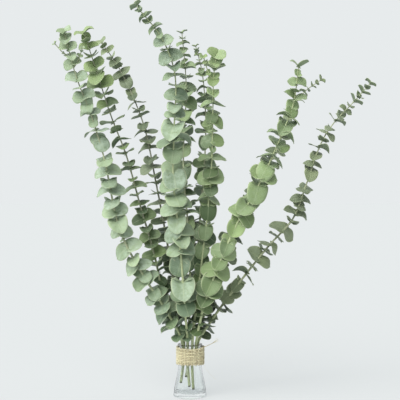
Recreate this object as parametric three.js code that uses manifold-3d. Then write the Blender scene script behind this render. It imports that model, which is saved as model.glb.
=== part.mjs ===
// A bunch of ten round-leaved eucalyptus branches standing in a small glass bottle vase,
// with a jute band round the vase's neck.
// Millimetres, +Z up. The origin is the centre of the vase's base, and -Y is the front.

import * as THREE from 'three';
import { mergeVertices } from 'three/addons/utils/BufferGeometryUtils.js';
import Module from 'manifold-3d';

const wasm = await Module();
wasm.setup();

// ---------------------------------------------------------------- driving dimensions

// Glass vase: a flared foot that narrows to a straight neck with a small lip.
const BASE_RADIUS = 18.6;
const NECK_RADIUS = 13.2;
const LIP_RADIUS = 13.9;
const SHOULDER_HEIGHT = 33;
const VASE_HEIGHT = 58;
const WALL = 2.2;
const BOTTOM = 4;
const FOOT_ROUNDING = 1.2;
const LIP_HEIGHT = 1.6;
const VASE_SIDES = 28;

// Jute band: a strip of coarse cloth wrapped round the neck, with one loose thread.
const BAND_LOW = 36;
const BAND_HIGH = 55;
const BAND_GAP = 0.3;
const BAND_THICKNESS = 1.8;
const BAND_EDGE = 0.5;
const BAND_SIDES = 24;
const THREAD_RADIUS = 0.6;
const THREAD_ROUTE = [[13.8, -4.5, 53.8], [19, -5, 56.5], [26, -5.5, 60], [33, -6, 65.5]];

// Stems: a ring of ten in the neck, so the middle of the neck stays open.
const RING_RADIUS_LOW = 7.7;
const RING_RADIUS_HIGH = 8.5;
const HIDDEN_FOOT_HEIGHT = 40;
const STEM_RADIUS = 1.7;
const TIP_RADIUS = 0.5;
const SPRIG_RADIUS = 0.7;
const STEM_STEP = 14;

// Leaves: opposite pairs, each pair turned a quarter round from the one below.
const LEAF_THICKNESS = 0.8;
const PAIR_SPACING = 2.8;
const PAIR_SPACING_PER_SPAN = 0.275;
const TIP_BARE = 1;
const TURN_SCATTER = 0.35;
const LIFT_SCATTER = 0.35;
const TILT_SCATTER = 0.6;
const SPAN_SCATTER = 0.16;
const SEED_STEP = 100;
const SPRIG_SEED_STEP = 40;
const SPRIG_BARE = 5;
const SPRIG_LIFTS = [0.1, 0.6];
const TURNS_TO_TRY = [0, 0.3, -0.3, 0.55, -0.55, 0.2, -0.2, 0, 0.4, -0.4, 0.75, -0.75];
const SHRINK = 0.06;
const CLEARANCE = 0.35;

// The outline of a leaf: shares of its length outwards, each with a share of its breadth.
const LEAF_OUTLINE = [[0.2, 0.8], [0.55, 1], [1, 0.5]];

const QUARTER_TURN = Math.PI / 2;
const BACK = new THREE.Vector3(0, 1, 0);

// One entry for each branch. slot is its direction in the ring of stems, in degrees from +X;
// foot is where the stem ends in the vase, or none where it ends inside the neck; route is the
// line of its stem above the neck, up to the tip; leavesFrom is the height of its lowest
// leaves; spans are the widths of its leaf pairs from the lowest to the highest, evenly
// spaced; lifts are how far the leaf tips rise for each unit outwards, likewise; facings are how
// far the pairs tip towards the front, in radians; breadth is a leaf's breadth for each unit of
// its length; sprigs are small side shoots, each with the share of the stem's length where it
// leaves the stem, its tip, and the spans of its leaf pairs.
const BRANCHES = [
  {
    name: 'branch_far_left',
    slot: 216,
    route: [
      [-25, -14, 95], [-50, -22, 135], [-75, -32, 185], [-92, -42, 265], [-105, -48, 310],
      [-120, -54, 350], [-132, -58, 396],
    ],
    leavesFrom: 63,
    spans: [27, 28, 29, 30, 25, 18],
    lifts: [0.1, -0.2, -0.3, -0.2, -0.1, 0.4],
    facings: [0.4, 0.5, 0.5, 0.6, 0.5, 0.5],
    breadth: 1.25,
    colour: 0x93ad8f,
    sprigs: [
      { start: 0.93, tip: [-142, -60, 384], spans: [7, 5] },
      { start: 0.9, tip: [-113, -55, 381], spans: [9, 6] },
    ],
  },
  {
    name: 'branch_left',
    slot: 180,
    foot: [-10.4, 1, 14],
    route: [
      [-28, 6, 105], [-41, 8, 160], [-56, 8, 212], [-72, 4, 270], [-88, 0, 312],
      [-102, -6, 356], [-117, -12, 404],
    ],
    leavesFrom: 72,
    spans: [26, 27, 25, 21, 31, 22],
    lifts: [0.3, -0.1, -0.2, 0, -0.2, 0.4],
    facings: [0.3, 0.4, 0.3, 0, 0.6, 0.6],
    breadth: 1.15,
    colour: 0x7f9d68,
    sprigs: [],
  },
  {
    name: 'branch_left_rear',
    slot: 144,
    route: [
      [-16, 24, 105], [-26, 34, 165], [-40, 44, 238], [-56, 52, 310], [-84, 61, 374],
      [-107, 64, 408],
    ],
    leavesFrom: 76,
    spans: [24, 25, 27, 29, 26, 14],
    lifts: [0.4, -0.1, -0.2, -0.2, -0.1, 0.3],
    facings: [0.4, 0.4, 0.4, 0.5, 0.6, 0.4],
    breadth: 1.2,
    colour: 0x66785c,
    sprigs: [],
  },
  {
    name: 'branch_tall_front',
    slot: 252,
    foot: [-0.5, -5, 11],
    route: [
      [-6, -24, 110], [-11, -42, 180], [-17, -56, 240], [-16, -65, 290], [-15, -76, 350],
      [-28, -83, 385], [-54, -90, 417],
    ],
    leavesFrom: 62,
    spans: [26, 33, 36, 33, 25, 13],
    lifts: [0.7, -0.4, -0.4, -0.3, -0.2, 0.3],
    facings: [0.3, 0.7, 0.7, 0.6, 0.5, 0.1],
    breadth: 1.3,
    colour: 0x8fa88d,
    sprigs: [],
  },
  {
    name: 'branch_tall_rear',
    slot: 108,
    foot: [-4.5, 4, 20],
    route: [[0, 12, 105], [-2, 22, 180], [-8, 32, 262], [-5, 44, 352], [-10, 50, 416]],
    leavesFrom: 76,
    spans: [26, 27, 29, 30, 27, 12],
    lifts: [0.5, -0.2, -0.3, -0.3, -0.2, 0.3],
    facings: [0.4, 0.4, 0.4, 0.5, 0.5, 0.4],
    breadth: 1.25,
    colour: 0x7b9270,
    sprigs: [],
  },
  {
    name: 'branch_middle_rear',
    slot: 72,
    route: [[5, 26, 105], [10, 42, 180], [18, 58, 300], [14, 68, 370], [6, 72, 404]],
    leavesFrom: 76,
    spans: [25, 27, 27, 26, 21, 9],
    lifts: [0.5, -0.2, -0.3, -0.3, -0.2, 0.3],
    facings: [0.4, 0.4, 0.4, 0.4, 0.4, 0.2],
    breadth: 1.25,
    colour: 0x7b9270,
    sprigs: [],
  },
  {
    name: 'branch_middle_front',
    slot: 288,
    foot: [3.7, -4, 8],
    route: [
      [8, -10, 108], [15, -18, 165], [20, -24, 210], [24, -29, 260], [25, -31, 305],
      [26, -34, 352], [29, -35, 377],
    ],
    leavesFrom: 62,
    spans: [26, 29, 30, 29, 25, 19],
    lifts: [0.6, -0.3, -0.5, -0.4, -0.2, 0.4],
    facings: [0.4, 0.7, 0.8, 0.7, 0.5, 0.7],
    breadth: 1.3,
    colour: 0x7d9c66,
    sprigs: [{ start: 0.92, tip: [15, -38, 373], spans: [15, 10] }],
  },
  {
    name: 'branch_right_front',
    slot: 324,
    route: [
      [17, -26, 108], [48, -45, 188], [74, -54, 236], [98, -62, 290], [109, -66, 320],
      [114, -70, 358],
    ],
    leavesFrom: 63,
    spans: [27, 30, 31, 31, 29, 17],
    lifts: [0.1, -0.3, -0.3, -0.3, -0.2, 0.4],
    facings: [0.4, 0.5, 0.6, 0.6, 0.5, 0.4],
    breadth: 1.25,
    colour: 0x86a667,
    sprigs: [],
  },
  {
    name: 'branch_right_rear',
    slot: 36,
    route: [
      [17, 12, 92], [33, 22, 135], [52, 30, 186], [86, 38, 250], [103, 42, 282],
      [117, 45, 324], [134, 47, 346], [153, 48, 360],
    ],
    leavesFrom: 70,
    spans: [25, 26, 26, 25, 20, 10],
    lifts: [0.2, -0.2, -0.2, -0.2, -0.1, 0.3],
    facings: [0.4, 0.4, 0.4, 0.4, 0.3, 0.2],
    breadth: 1.15,
    colour: 0x66785c,
    sprigs: [],
  },
  {
    name: 'branch_far_right',
    slot: 0,
    route: [
      [24, 0, 84], [62, 8, 134], [90, 12, 168], [117, 16, 198], [133, 20, 238], [150, 24, 284],
      [163, 26, 305], [193, 30, 337], [208, 32, 354],
    ],
    leavesFrom: 64,
    spans: [28, 30, 30, 28, 24, 14],
    lifts: [0.1, -0.2, -0.1, -0.1, 0, 0.4],
    facings: [0.3, 0.4, 0.4, 0.3, 0.2, 0.2],
    breadth: 1.1,
    colour: 0x6f8163,
    sprigs: [],
  },
];

// ---------------------------------------------------------------- small helpers

// A repeatable spread of values from -1 to 1.
function scatter(seed) {
  const value = Math.sin(seed * 12.9898 + 78.233) * 43758.5453;
  return 2 * (value - Math.floor(value)) - 1;
}

// The value at t, from 0 to 1, along evenly spaced values.
function along(values, t) {
  const place = Math.min(Math.max(t, 0), 1) * (values.length - 1);
  const step = Math.min(Math.floor(place), values.length - 2);
  return THREE.MathUtils.lerp(values[step], values[step + 1], place - step);
}

function curveThrough(points) {
  return new THREE.CatmullRomCurve3(
    points.map((point) => new THREE.Vector3(...point)),
    false,
    'centripetal',
  );
}

function toSolid(geometry) {
  const bare = geometry.clone();
  bare.deleteAttribute('normal');
  bare.deleteAttribute('uv');
  const merged = mergeVertices(bare);
  return new wasm.Manifold(new wasm.Mesh({
    numProp: 3,
    vertProperties: Float32Array.from(merged.attributes.position.array),
    triVerts: Uint32Array.from(merged.index.array),
  }));
}

function toGeometry(solid) {
  const mesh = solid.getMesh();
  const geometry = new THREE.BufferGeometry();
  geometry.setAttribute('position', new THREE.Float32BufferAttribute(mesh.vertProperties, 3));
  geometry.setIndex(Array.from(mesh.triVerts));
  geometry.computeVertexNormals();
  return geometry;
}

function ringPoint(radius, degrees, height) {
  const angle = THREE.MathUtils.degToRad(degrees);
  return [radius * Math.cos(angle), radius * Math.sin(angle), height];
}

// Where a curve is at t, and its axes there: level and other are across it, axis is along it.
function frameAt(curve, t) {
  const point = curve.getPointAt(t);
  const axis = curve.getTangentAt(t);
  const level = new THREE.Vector3().crossVectors(BACK, axis).normalize();
  const other = new THREE.Vector3().crossVectors(axis, level);
  return { point, axis, level, other };
}

// The mesh of a thin four-sided stem along a curve, with a leaf growing out of its side
// wherever pairs says so. It is built ring by ring, so it is one closed body.
function stemGeometry(curve, startRadius, endRadius, pairs) {
  const positions = [];
  const triangles = [];
  const length = curve.getLength();

  const addPoint = (point) => positions.push(point.x, point.y, point.z) / 3 - 1;
  const addQuad = (a, b, c, d) => triangles.push(a, b, c, a, c, d);

  // Four corners of the stem's section, turned to face the leaves.
  const addRing = (distance, turn) => {
    const t = distance / length;
    const { point, level, other } = frameAt(curve, t);
    const radius = THREE.MathUtils.lerp(startRadius, endRadius, t);
    return [0, 1, 2, 3].map((corner) => {
      const angle = turn + QUARTER_TURN * (corner - 0.5);
      return addPoint(point.clone()
        .addScaledVector(level, radius * Math.cos(angle))
        .addScaledVector(other, radius * Math.sin(angle)));
    });
  };

  // A leaf's blade, which widens from a side of the stem and ends bluntly.
  const addLeaf = (root, pair, side) => {
    const { point, axis, level, other } = frameAt(curve, pair.distance / length);
    const angle = pair.turn + QUARTER_TURN * side;
    const out = level.clone().multiplyScalar(Math.cos(angle))
      .addScaledVector(other, Math.sin(angle));
    const across = new THREE.Vector3().crossVectors(axis, out);
    let inner = root;
    for (const [reach, breadth] of leafStations(pair)) {
      const outer = [[-1, -1], [1, -1], [1, 1], [-1, 1]].map(([wide, high]) => {
        const offset = out.clone().multiplyScalar(reach)
          .addScaledVector(across, wide * breadth / 2)
          .addScaledVector(axis, pair.lift * reach + high * LEAF_THICKNESS / 2)
          .applyAxisAngle(level, pair.tilt);
        return addPoint(offset.add(point));
      });
      joinRings(inner, outer);
      inner = outer;
    }
    addQuad(...inner);
  };

  const joinRings = (lower, upper, skipped = []) => {
    for (let side = 0; side < 4; side += 1) {
      const next = (side + 1) % 4;
      if (!skipped.includes(side)) {
        addQuad(lower[side], lower[next], upper[next], upper[side]);
      }
    }
  };

  let distance = 0;
  let ring = addRing(0, 0);
  addQuad(ring[3], ring[2], ring[1], ring[0]);
  const climbTo = (height, turn) => {
    const steps = Math.ceil((height - distance) / STEM_STEP);
    const climb = (height - distance) / steps;
    for (let step = 1; step <= steps; step += 1) {
      const next = addRing(distance + climb * step, turn);
      joinRings(ring, next);
      ring = next;
    }
    distance = height;
  };
  for (const pair of pairs) {
    climbTo(pair.distance - LEAF_THICKNESS / 2, pair.turn);
    const upper = addRing(pair.distance + LEAF_THICKNESS / 2, pair.turn);
    const sides = [pair.firstSide, pair.firstSide + 2];
    joinRings(ring, upper, sides);
    for (const side of sides) {
      const next = (side + 1) % 4;
      addLeaf([ring[side], ring[next], upper[next], upper[side]], pair, side);
    }
    ring = upper;
    distance = pair.distance + LEAF_THICKNESS / 2;
  }
  climbTo(length, pairs.length > 0 ? pairs.at(-1).turn : 0);
  addQuad(...ring);

  const geometry = new THREE.BufferGeometry();
  geometry.setAttribute('position', new THREE.Float32BufferAttribute(positions, 3));
  geometry.setIndex(triangles);
  return geometry;
}

// ---------------------------------------------------------------- vase and band

function vaseGeometry() {
  const inner = NECK_RADIUS - WALL;
  const lipStart = VASE_HEIGHT - LIP_HEIGHT;
  const profile = [
    [0, 0],
    [BASE_RADIUS - FOOT_ROUNDING, 0],
    [BASE_RADIUS, FOOT_ROUNDING],
    [NECK_RADIUS, SHOULDER_HEIGHT],
    [NECK_RADIUS, lipStart],
    [LIP_RADIUS, lipStart + LIP_HEIGHT / 2],
    [NECK_RADIUS, VASE_HEIGHT],
    [inner + WALL / 4, VASE_HEIGHT],
    [inner, lipStart],
    [inner, SHOULDER_HEIGHT],
    [BASE_RADIUS - WALL - FOOT_ROUNDING, BOTTOM + FOOT_ROUNDING],
    [BASE_RADIUS - WALL - 2 * FOOT_ROUNDING, BOTTOM],
    [0, BOTTOM],
  ];
  return new THREE.LatheGeometry(
    profile.map(([radius, height]) => new THREE.Vector2(radius, height)),
    VASE_SIDES,
  ).rotateX(QUARTER_TURN);
}

function bandSolid() {
  const inner = NECK_RADIUS + BAND_GAP;
  const outer = inner + BAND_THICKNESS;
  const profile = [
    [inner, BAND_LOW],
    [outer - BAND_EDGE, BAND_LOW],
    [outer, BAND_LOW + BAND_EDGE],
    [outer, BAND_HIGH - BAND_EDGE],
    [outer - BAND_EDGE, BAND_HIGH],
    [inner, BAND_HIGH],
    [inner, BAND_LOW],
  ];
  const ring = new THREE.LatheGeometry(
    profile.map(([radius, height]) => new THREE.Vector2(radius, height)),
    BAND_SIDES,
  ).rotateX(QUARTER_TURN);
  const thread = stemGeometry(curveThrough(THREAD_ROUTE), THREAD_RADIUS, THREAD_RADIUS / 2, []);
  return toSolid(ring).add(toSolid(thread));
}

// ---------------------------------------------------------------- branches

// The stem's whole line: its foot in the vase, its place in the neck, then its route.
function stemCurve(branch) {
  const points = branch.foot
    ? [branch.foot, ringPoint(RING_RADIUS_LOW, branch.slot, BAND_LOW)]
    : [ringPoint(RING_RADIUS_LOW, branch.slot, HIDDEN_FOOT_HEIGHT)];
  points.push(ringPoint(RING_RADIUS_HIGH, branch.slot, VASE_HEIGHT));
  return curveThrough([...points, ...branch.route]);
}

function sprigCurve(stem, { start, tip }) {
  const root = stem.getPointAt(start);
  const end = new THREE.Vector3(...tip);
  const bend = root.clone().lerp(end, 0.5);
  bend.z = THREE.MathUtils.lerp(root.z, end.z, 0.35);
  return new THREE.CatmullRomCurve3([root, bend, end]);
}

// The distance along a curve at which it first reaches a height.
function distanceToHeight(curve, height) {
  const length = curve.getLength();
  let distance = 0;
  while (curve.getPointAt(distance / length).z < height) {
    distance += 1;
  }
  return distance;
}

// Distances out along a leaf's blade, each with its breadth there.
function leafStations({ reach, breadth }) {
  return LEAF_OUTLINE.map(([out, wide]) => [reach * out, reach * breadth * wide]);
}

// The room one leaf needs: a plate round its blade, thicker and wider by the clearance.
function leafRoom(curve, pair, side) {
  const stations = [[0.1, 2 * STEM_RADIUS], ...leafStations(pair)];
  const last = stations.length - 1;
  const thickness = LEAF_THICKNESS + 2 * CLEARANCE;
  const geometry = new THREE.BoxGeometry(1, 1, thickness, last, 1, 1);
  const position = geometry.attributes.position;
  for (let i = 0; i < position.count; i += 1) {
    const number = Math.round(last * (position.getX(i) + 0.5));
    const [reach, breadth] = stations[number];
    position.setX(i, number === last ? reach + CLEARANCE : reach);
    position.setY(i, position.getY(i) * (breadth + 2 * CLEARANCE));
    position.setZ(i, position.getZ(i) + pair.lift * reach);
  }
  const { point, axis, level, other } = frameAt(curve, pair.distance / curve.getLength());
  const frame = new THREE.Matrix4().makeBasis(level, other, axis).setPosition(point);
  const angle = pair.turn + QUARTER_TURN * side;
  frame.multiply(new THREE.Matrix4().makeRotationX(pair.tilt));
  frame.multiply(new THREE.Matrix4().makeRotationZ(angle));
  return toSolid(geometry.applyMatrix4(frame));
}

// Leaf pairs from the first up to the tip, closer together as they get smaller. They are found
// from the tip down, so that the tip always has its pair. A pair that would touch another leaf
// or stem is turned and made smaller, and left out where it has no room.
function leafPairs(curve, first, growth, seed, others) {
  const { spans, lifts, facings, breadth } = growth;
  const length = curve.getLength();
  const taken = [...others];
  const pairs = [];
  let distance = length - TIP_BARE;
  let count = 0;
  while (distance > first) {
    const grown = (distance - first) / (length - first);
    const span = along(spans, grown) * (1 + SPAN_SCATTER * scatter(seed + count));
    const lift = along(lifts, grown) + LIFT_SCATTER * scatter(seed + count + 0.3);
    const turn = TURN_SCATTER * scatter(seed + count + 0.6);
    const tilt = along(facings, grown) + TILT_SCATTER * scatter(seed + count + 0.8);
    for (const [attempt, extraTurn] of TURNS_TO_TRY.entries()) {
      const reach = span * (1 - SHRINK * attempt) / 2;
      const firstSide = count % 2;
      const pair = { distance, turn: turn + extraTurn, firstSide, reach, breadth, lift, tilt };
      const rooms = [0, 2].map((side) => leafRoom(curve, pair, pair.firstSide + side));
      if (!taken.some((solid) => rooms.some((room) => !solid.intersect(room).isEmpty()))) {
        pairs.push(pair);
        taken.push(...rooms);
        break;
      }
    }
    distance -= PAIR_SPACING + PAIR_SPACING_PER_SPAN * span;
    count += 1;
  }
  return pairs.reverse();
}

// ---------------------------------------------------------------- assembly

const bunch = new THREE.Group();

function addPart(name, geometry, colour, roughness) {
  const material = new THREE.MeshStandardMaterial({ color: colour, roughness, metalness: 0 });
  const mesh = new THREE.Mesh(geometry, material);
  mesh.name = name;
  bunch.add(mesh);
}

const vase = vaseGeometry();
addPart('vase', vase, 0xdfe8ea, 0.05);
const band = bandSolid();
addPart('jute_band', toGeometry(band), 0xcdbf98, 0.95);

const stems = BRANCHES.map((branch) => {
  const curve = stemCurve(branch);
  const sprigs = branch.sprigs.map((sprig) => sprigCurve(curve, sprig));
  const solids = [toSolid(stemGeometry(curve, STEM_RADIUS, TIP_RADIUS, []))];
  sprigs.forEach((sprig) => {
    solids.push(toSolid(stemGeometry(sprig, SPRIG_RADIUS, TIP_RADIUS, [])));
  });
  return { curve, sprigs, solids };
});

const finished = [toSolid(vase), band];
BRANCHES.forEach((branch, index) => {
  const { curve, sprigs } = stems[index];
  const neighbours = stems.filter((stem) => stem !== stems[index]);
  const others = [...finished, ...neighbours.flatMap((stem) => stem.solids)];
  const first = distanceToHeight(curve, branch.leavesFrom);
  const pairs = leafPairs(curve, first, branch, SEED_STEP * index, others);
  let whole = toSolid(stemGeometry(curve, STEM_RADIUS, TIP_RADIUS, pairs));
  sprigs.forEach((sprig, number) => {
    const seed = SEED_STEP * index + SPRIG_SEED_STEP * (number + 1);
    const growth = { ...branch, spans: branch.sprigs[number].spans, lifts: SPRIG_LIFTS };
    const sprigPairs = leafPairs(sprig, SPRIG_BARE, growth, seed, [...others, whole]);
    whole = whole.add(toSolid(stemGeometry(sprig, SPRIG_RADIUS, TIP_RADIUS, sprigPairs)));
  });
  finished.push(whole);
  addPart(branch.name, toGeometry(whole), branch.colour, 0.7);
});

export default bunch;
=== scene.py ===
"""A bunch of ten round-leaved eucalyptus branches in a small glass bottle vase.

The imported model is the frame. This script makes the visible pieces round it: curved leaves and
round stems for each branch, smooth glass for the vase, and woven jute for the band.
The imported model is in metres, +Z up, with the front of the bunch at -Y. Lengths in this script
are in millimetres unless their comment says otherwise.
"""

import math

import bpy
import numpy as np
from mathutils import Matrix, Vector
from mathutils.kdtree import KDTree

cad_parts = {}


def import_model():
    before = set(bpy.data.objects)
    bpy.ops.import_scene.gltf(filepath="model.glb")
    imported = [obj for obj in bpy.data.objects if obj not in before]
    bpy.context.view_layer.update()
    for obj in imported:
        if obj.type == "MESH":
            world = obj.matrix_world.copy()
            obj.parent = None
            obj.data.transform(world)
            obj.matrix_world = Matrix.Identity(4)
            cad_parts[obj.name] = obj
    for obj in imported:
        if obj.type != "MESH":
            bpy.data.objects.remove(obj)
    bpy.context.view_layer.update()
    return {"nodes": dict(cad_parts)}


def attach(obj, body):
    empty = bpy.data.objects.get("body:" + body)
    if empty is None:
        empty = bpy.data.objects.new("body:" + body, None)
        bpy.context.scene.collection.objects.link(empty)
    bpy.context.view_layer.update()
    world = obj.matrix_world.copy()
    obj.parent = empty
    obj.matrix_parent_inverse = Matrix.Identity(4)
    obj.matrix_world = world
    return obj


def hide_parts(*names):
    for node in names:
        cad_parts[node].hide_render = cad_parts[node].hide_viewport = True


MM = 0.001
QUARTER_TURN = math.pi / 2
BACK = Vector((0, 1, 0))

# ---------------------------------------------------------------- dimensions of the CAD model

# Vase.
BASE_RADIUS = 18.6
NECK_RADIUS = 13.2
LIP_RADIUS = 13.9
SHOULDER_HEIGHT = 33
VASE_HEIGHT = 58
WALL = 2.2
BOTTOM = 4
FOOT_ROUNDING = 1.2
LIP_HEIGHT = 1.6

# Jute band.
BAND_LOW = 36
BAND_HIGH = 55
BAND_GAP = 0.3
THREAD_ROUTE = [[13.8, -4.5, 53.8], [19, -5, 56.5], [26, -5.5, 60], [33, -6, 65.5]]

# Stems.
RING_RADIUS_LOW = 7.7
RING_RADIUS_HIGH = 8.5
HIDDEN_FOOT_HEIGHT = 40
STEM_RADIUS = 1.7
TIP_RADIUS = 0.5
SPRIG_RADIUS = 0.7

# Leaves, in opposite pairs.
LEAF_THICKNESS = 0.8
LEAF_END_BREADTH = 0.5
PAIR_SPACING = 2.8
PAIR_SPACING_PER_SPAN = 0.275
TIP_BARE = 1
TURN_SCATTER = 0.35
LIFT_SCATTER = 0.35
TILT_SCATTER = 0.6
SPAN_SCATTER = 0.16
SEED_STEP = 100
SPRIG_SEED_STEP = 40
SPRIG_BARE = 5
SPRIG_LIFTS = [0.1, 0.6]
TURNS_TO_TRY = [0, 0.3, -0.3, 0.55, -0.55, 0.2, -0.2, 0, 0.4, -0.4, 0.75, -0.75]
SHRINK = 0.06

# ---------------------------------------------------------------- dimensions of the visible pieces

# A pair is taken as found where the CAD leaf has a corner this close to where it would be.
FOUND_WITHIN = 0.25

# Leaves. LEAF_SHELL is half of a leaf's thickness, and RIM_SHARE is what is left of that at the
# rim. From WIDEST_AT to TIP_POINT the values are shares of the leaf's own length or breadth.
LEAF_ROWS = 10
LEAF_COLUMNS = 8
LEAF_SHELL = 0.2
RIM_SHARE = 0.35
WIDEST_AT = 0.38
BASE_SHARE = 0.55
TIP_SHARE = 0.05
LOBE_SWEEP = 0.2
TIP_POINT = 0.06
FOLD_ROUNDING = 0.6

# How far up its branch a leaf grows, from 0 to 1, where leaves start to look young, and where the
# leaves of a side shoot count from.
YOUNG_FROM = 0.8
SPRIG_GROWN_FROM = 0.9
TONE_SCATTER = 0.35
BLOOM_SCATTER = 0.3

# Below this height the visible leaves are longer than the CAD ones, by this share at the table.
LOW_LEAF_HEIGHT = 125
LOW_LEAF_GROWTH = 0.6

# Painted shade: leaves are darker below SHADE_HEIGHT, from SHADE_FRONT in front of the middle
# backwards, and
# near the middle: fully within half of SHADE_WIDTH of it, and not past 1.5 times SHADE_WIDTH.
SHADE_HEIGHT = 220
SHADE_FRONT = 40
SHADE_WIDTH = 40
SHADE_MIDDLE = 1.5

# Stems.
STEM_SIDES = 10
STEM_STEP = 2.5
STEM_SWAY = 0.06
SWELLING_LENGTH = 1.8
SWELLING = 0.2
BARK_LENGTH = 120
CUT_LENGTH = 2

# Vase. The hollow under the base is given as radius and height.
VASE_SIDES = 96
BASE_HOLLOW = [(0, 0.8), (10, 0.7), (13, 0.25), (15, 0)]
FLARE_STEPS = 14
FLARE_DIP = 0.06
INSIDE_STEPS = 12
INSIDE_ROUNDING = 3

# Jute band: a cloth strip wrapped a little more than once round the neck, under woven yarns. From
# LAYER_START, in wraps, the strip rises over its own beginning.
WRAPS = 1.16
WRAP_START = math.radians(-38)
LAYER_START = 0.92
LAYER_RAMP = 0.08
LAYER_RISE = 0.7
RIPPLE = 0.12
WANDER = 0.35
WANDER_HEIGHT = 20
CLOTH_GAP = 0.05
CLOTH_THICKNESS = 0.35
CLOTH_INSET_LOW = 0.6
CLOTH_INSET_HIGH = 0.9
CLOTH_STEPS_AROUND = 150
CLOTH_STEPS_UP = 8
YARN_SIDES = 6
YARN_RADIUS = 0.54
YARN_RISE = 0.42
YARN_PITCH = 1.9
WEAVE_RADIUS = NECK_RADIUS + 1.2
WEAVE_STEPS = 4
THREAD_STRANDS = 3
THREAD_STEPS = 26
THREAD_TWISTED_PART = 0.72
FRAYED_FIBRES = 14
FRAYED_FIBRE_STEPS = 8
HANGING_FIBRE = [[14.6, -5, 38], [17.5, -5.5, 31.5], [22, -6, 25.5], [29, -6.5, 19.5]]
HANGING_FIBRE_STEPS = 20
STRAY_FIBRES = 46
STRAY_FIBRE_STEPS = 7

# Camera and studio, in metres, but for the camera's lens and sensor.
CAMERA_PLACE = (0.0112, -1.0, 0.219)
CAMERA_LENS = 80.36
CAMERA_SENSOR = 36
FLOOR_RADIUS = 60.0
FLOOR_SIDES = 96
KEY_LIGHT_PLACE = (-1.4, -2.0, 2.6)
KEY_LIGHT_TARGET = (0, 0, 0.2)
KEY_LIGHT_POWER = 3.1
KEY_LIGHT_ANGLE = math.radians(60)

# The surround is full strength until a direction's cosine with the dark side reaches DARK_FROM,
# and falls to DARK_STRENGTH at the dark side itself.
DARK_SIDE = (0.6, -0.45, 0.66)
DARK_FROM = 0.6
DARK_STRENGTH = 0.1

# Colours. A leaf's colour runs from dark to light, under a waxy bloom.
LEAF_COLOURS = {
    "eucalyptus_blue_green": ((0.09, 0.15, 0.08), (0.34, 0.45, 0.24), (0.50, 0.61, 0.49)),
    "eucalyptus_green": ((0.055, 0.10, 0.04), (0.32, 0.44, 0.18), (0.40, 0.50, 0.35)),
    "eucalyptus_grey_green": ((0.055, 0.085, 0.045), (0.28, 0.34, 0.19), (0.34, 0.41, 0.31)),
}
YOUNG_LEAF = (0.27, 0.36, 0.15)
UNDERSIDE_PAINTED_SHADE = (0.13, 0.17, 0.12)
VEIN = (0.42, 0.50, 0.30)
MARGIN = (0.50, 0.56, 0.35)
SPECK = (0.16, 0.12, 0.06)
STEM_GREEN = (0.49, 0.56, 0.31)
STEM_BROWN = (0.30, 0.30, 0.24)
STEM_SHADE = (0.16, 0.17, 0.11)
CUT_END = (0.07, 0.06, 0.04)
JUTE_DARK = (0.47, 0.39, 0.20)
JUTE_LIGHT = (0.81, 0.75, 0.48)
JUTE_PALE = (0.89, 0.86, 0.68)
JUTE_BROWN_AND_GAP_SHADE = (0.25, 0.18, 0.08)
GLASS_CLEAR = (0.96, 0.98, 0.975)
GLASS_EDGE_PAINTED_REFLECTION = (0.31, 0.33, 0.345)
SURROUND = (0.80, 0.831, 0.84, 1.0)
FLOOR_COLOUR = (0.2, 0.2, 0.2, 1.0)
FLOOR_GLOW = (0.534, 0.566, 0.574, 1.0)
SHEEN_TINT = (0.9, 1.0, 0.92, 1.0)
KEY_LIGHT_COLOUR = (1.0, 0.985, 0.95)
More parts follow.
